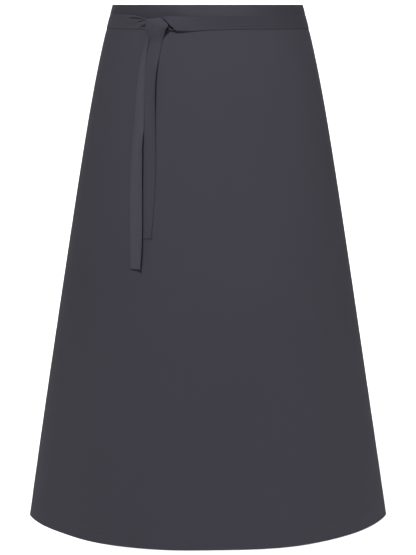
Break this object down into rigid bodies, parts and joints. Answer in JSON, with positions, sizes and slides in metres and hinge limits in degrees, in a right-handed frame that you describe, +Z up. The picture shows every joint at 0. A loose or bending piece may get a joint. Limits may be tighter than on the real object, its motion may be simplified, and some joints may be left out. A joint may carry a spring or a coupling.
{
  "type": "long waist apron",
  "caption": "Long A-line waist apron with a folded waistband and flat cloth ties that cross behind and knot at the front, shown as worn, open at the back.",
  "frame": {"origin": "middle of the waist opening, level with the top edge of the waistband", "axes": "+Z up, the front of the apron faces -Y, +X to the right of someone looking at the front"},
  "size_m": [0.6338, 0.3055, 0.9002],
  "materials": {
    "panel_cloth": "matte plain-coloured woven cloth, charcoal grey",
    "band_cloth": "the same cloth, folded double and topstitched",
    "tie_cloth": "the same cloth, folded and stitched as a flat tie"
  },
  "bodies": {
    "root": {"apron_panel": "panel_cloth", "waistband": "band_cloth", "tie_left": "tie_cloth", "tie_right": "tie_cloth"}
  },
  "joints": []
}
